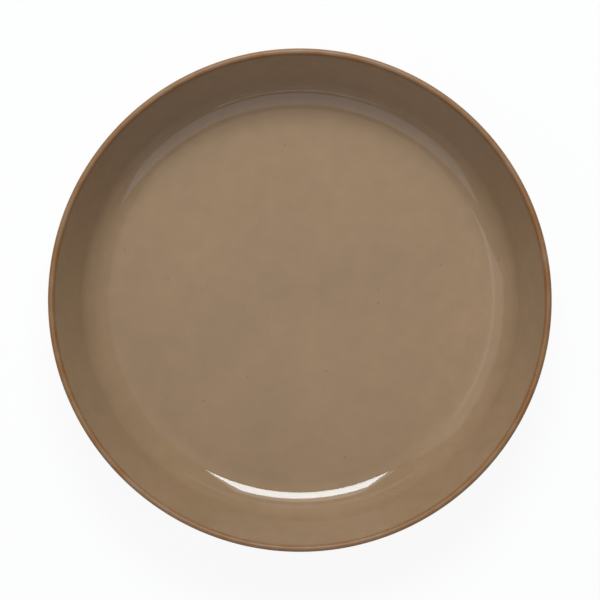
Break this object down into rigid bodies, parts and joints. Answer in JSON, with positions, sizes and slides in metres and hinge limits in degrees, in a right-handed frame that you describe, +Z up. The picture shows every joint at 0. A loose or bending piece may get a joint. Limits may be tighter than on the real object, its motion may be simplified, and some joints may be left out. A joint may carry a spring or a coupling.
{
  "type": "side plate",
  "caption": "Round glazed stoneware side plate with a flat well, a steep straight wall, a rounded lip and a foot ring, made in one piece.",
  "frame": {"origin": "centre of the foot ring, on the surface that the plate stands on", "axes": "+Z up along the plate's axis; the plate is round, so X and Y are any two directions square to it"},
  "size_m": [0.2, 0.2, 0.038],
  "materials": {
    "glaze": "glossy taupe-brown stoneware glaze, thin and red-brown at the lip"
  },
  "bodies": {
    "root": {"plate": "glaze"}
  },
  "joints": []
}
